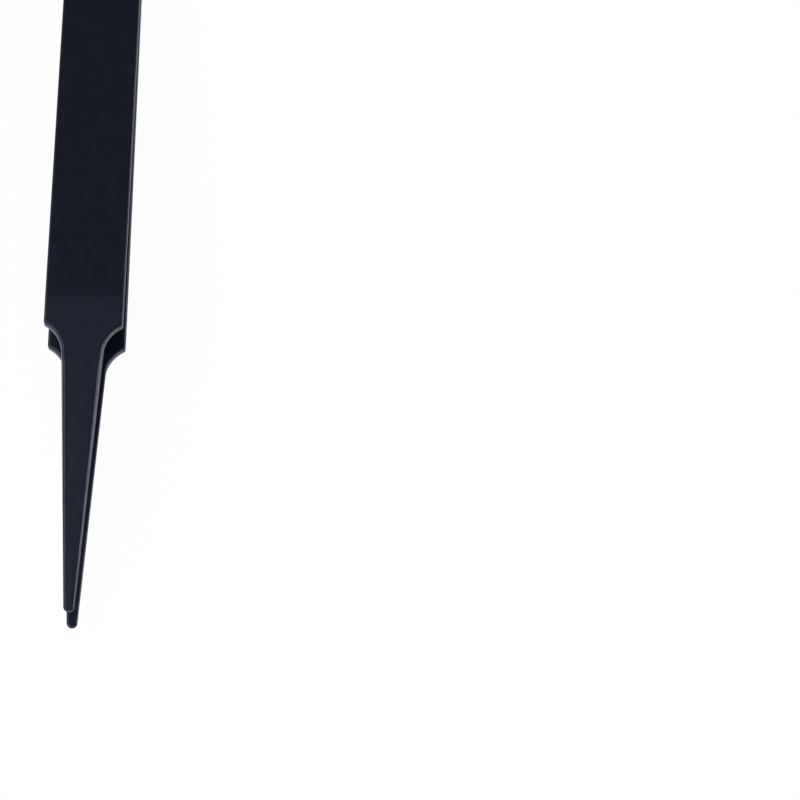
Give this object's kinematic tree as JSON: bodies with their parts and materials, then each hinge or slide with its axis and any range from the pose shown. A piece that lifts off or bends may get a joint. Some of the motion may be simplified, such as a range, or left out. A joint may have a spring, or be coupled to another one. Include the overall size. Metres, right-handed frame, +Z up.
{
  "type": "stepped fine-tip tweezers",
  "caption": "Fine-tip tweezers moulded in one piece: two flat sprung arms on a solid rear block, with shoulders that step down to narrow tapering legs and rounded points.",
  "frame": {"origin": "centre of the bounding box, on the surface that the tweezers lie on", "axes": "+Z up, +Y from the tips to the rear end, +X across the width; the tweezers lie on their lower arm, so their mid-plane dips 2.8 degrees towards the rear"},
  "size_m": [0.01, 0.1182, 0.0125],
  "materials": {
    "moulded_body": "fine satin as-moulded surface of black plastic filled with short carbon fibre"
  },
  "bodies": {
    "root": {"tweezers": "moulded_body"}
  },
  "joints": []
}
